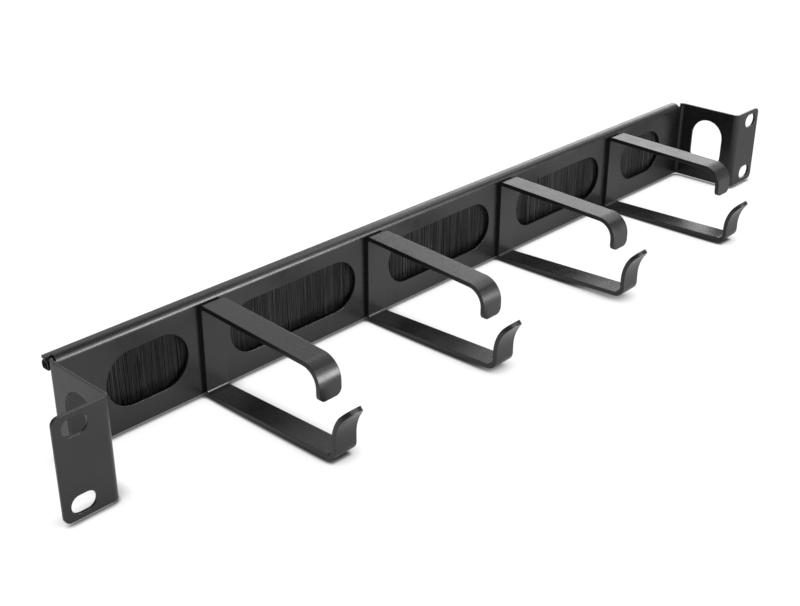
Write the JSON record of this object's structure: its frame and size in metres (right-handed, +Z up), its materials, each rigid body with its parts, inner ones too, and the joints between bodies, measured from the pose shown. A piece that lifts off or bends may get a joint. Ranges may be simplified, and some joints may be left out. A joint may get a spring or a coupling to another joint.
{
  "type": "horizontal cable manager",
  "caption": "Low folded rack panel with recessed face, row of obround openings closed by a strip brush, and open strap brackets standing forward that hold cables.",
  "frame": {"origin": "centre of the four rack slots, on the rear face of the ears, which bears on the rack rails", "axes": "+X to the right seen from the front, +Y to the rear along the screws, +Z up"},
  "size_m": [0.4826, 0.0904, 0.0449],
  "materials": {
    "powder_coat": "black fine-textured powder coat, satin",
    "channel_coat": "black, smooth satin",
    "galvanised_wire": "galvanised",
    "bristle": "black nylon bristles, slight sheen"
  },
  "bodies": {
    "root": {"brush_channel": "channel_coat", "brush_core_wire": "galvanised_wire", "brush_filaments": "bristle", "cable_bracket_far_left": "powder_coat", "cable_bracket_far_right": "powder_coat", "cable_bracket_mid_left": "powder_coat", "cable_bracket_mid_right": "powder_coat", "rack_panel": "powder_coat"}
  },
  "joints": []
}
